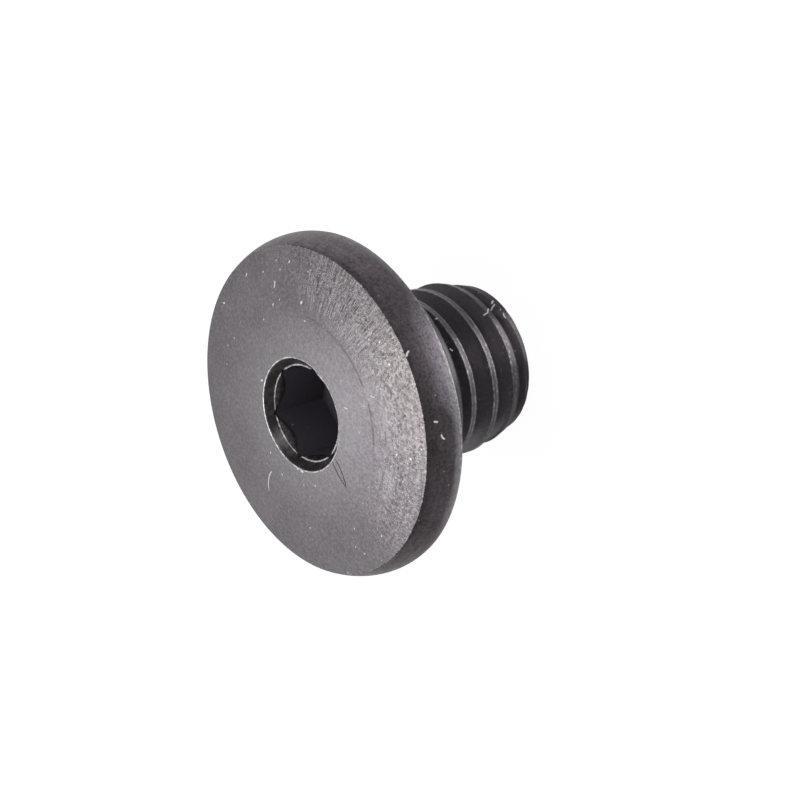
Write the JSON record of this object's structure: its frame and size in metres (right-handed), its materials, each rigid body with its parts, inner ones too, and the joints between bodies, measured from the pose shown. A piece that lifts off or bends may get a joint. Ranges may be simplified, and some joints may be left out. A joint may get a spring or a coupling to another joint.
{
  "type": "bleed screw",
  "caption": "Bleed screw with a wide, low-crowned head, a hexagon socket, a short threaded shank and a rubber sealing ring under the head.",
  "frame": {"origin": "centre of the flat bearing face under the head", "axes": "+Z along the screw's axis towards the head, so the tip is at -Z; +X through two corners of the hexagon socket"},
  "size_m": [0.0118, 0.0118, 0.008],
  "materials": {
    "screw": "dark grey oxide finish on turned steel, finely grained, with thin bright edges",
    "o_ring": "matt black sealing rubber"
  },
  "bodies": {
    "root": {"screw": "screw", "o_ring": "o_ring"}
  },
  "joints": []
}
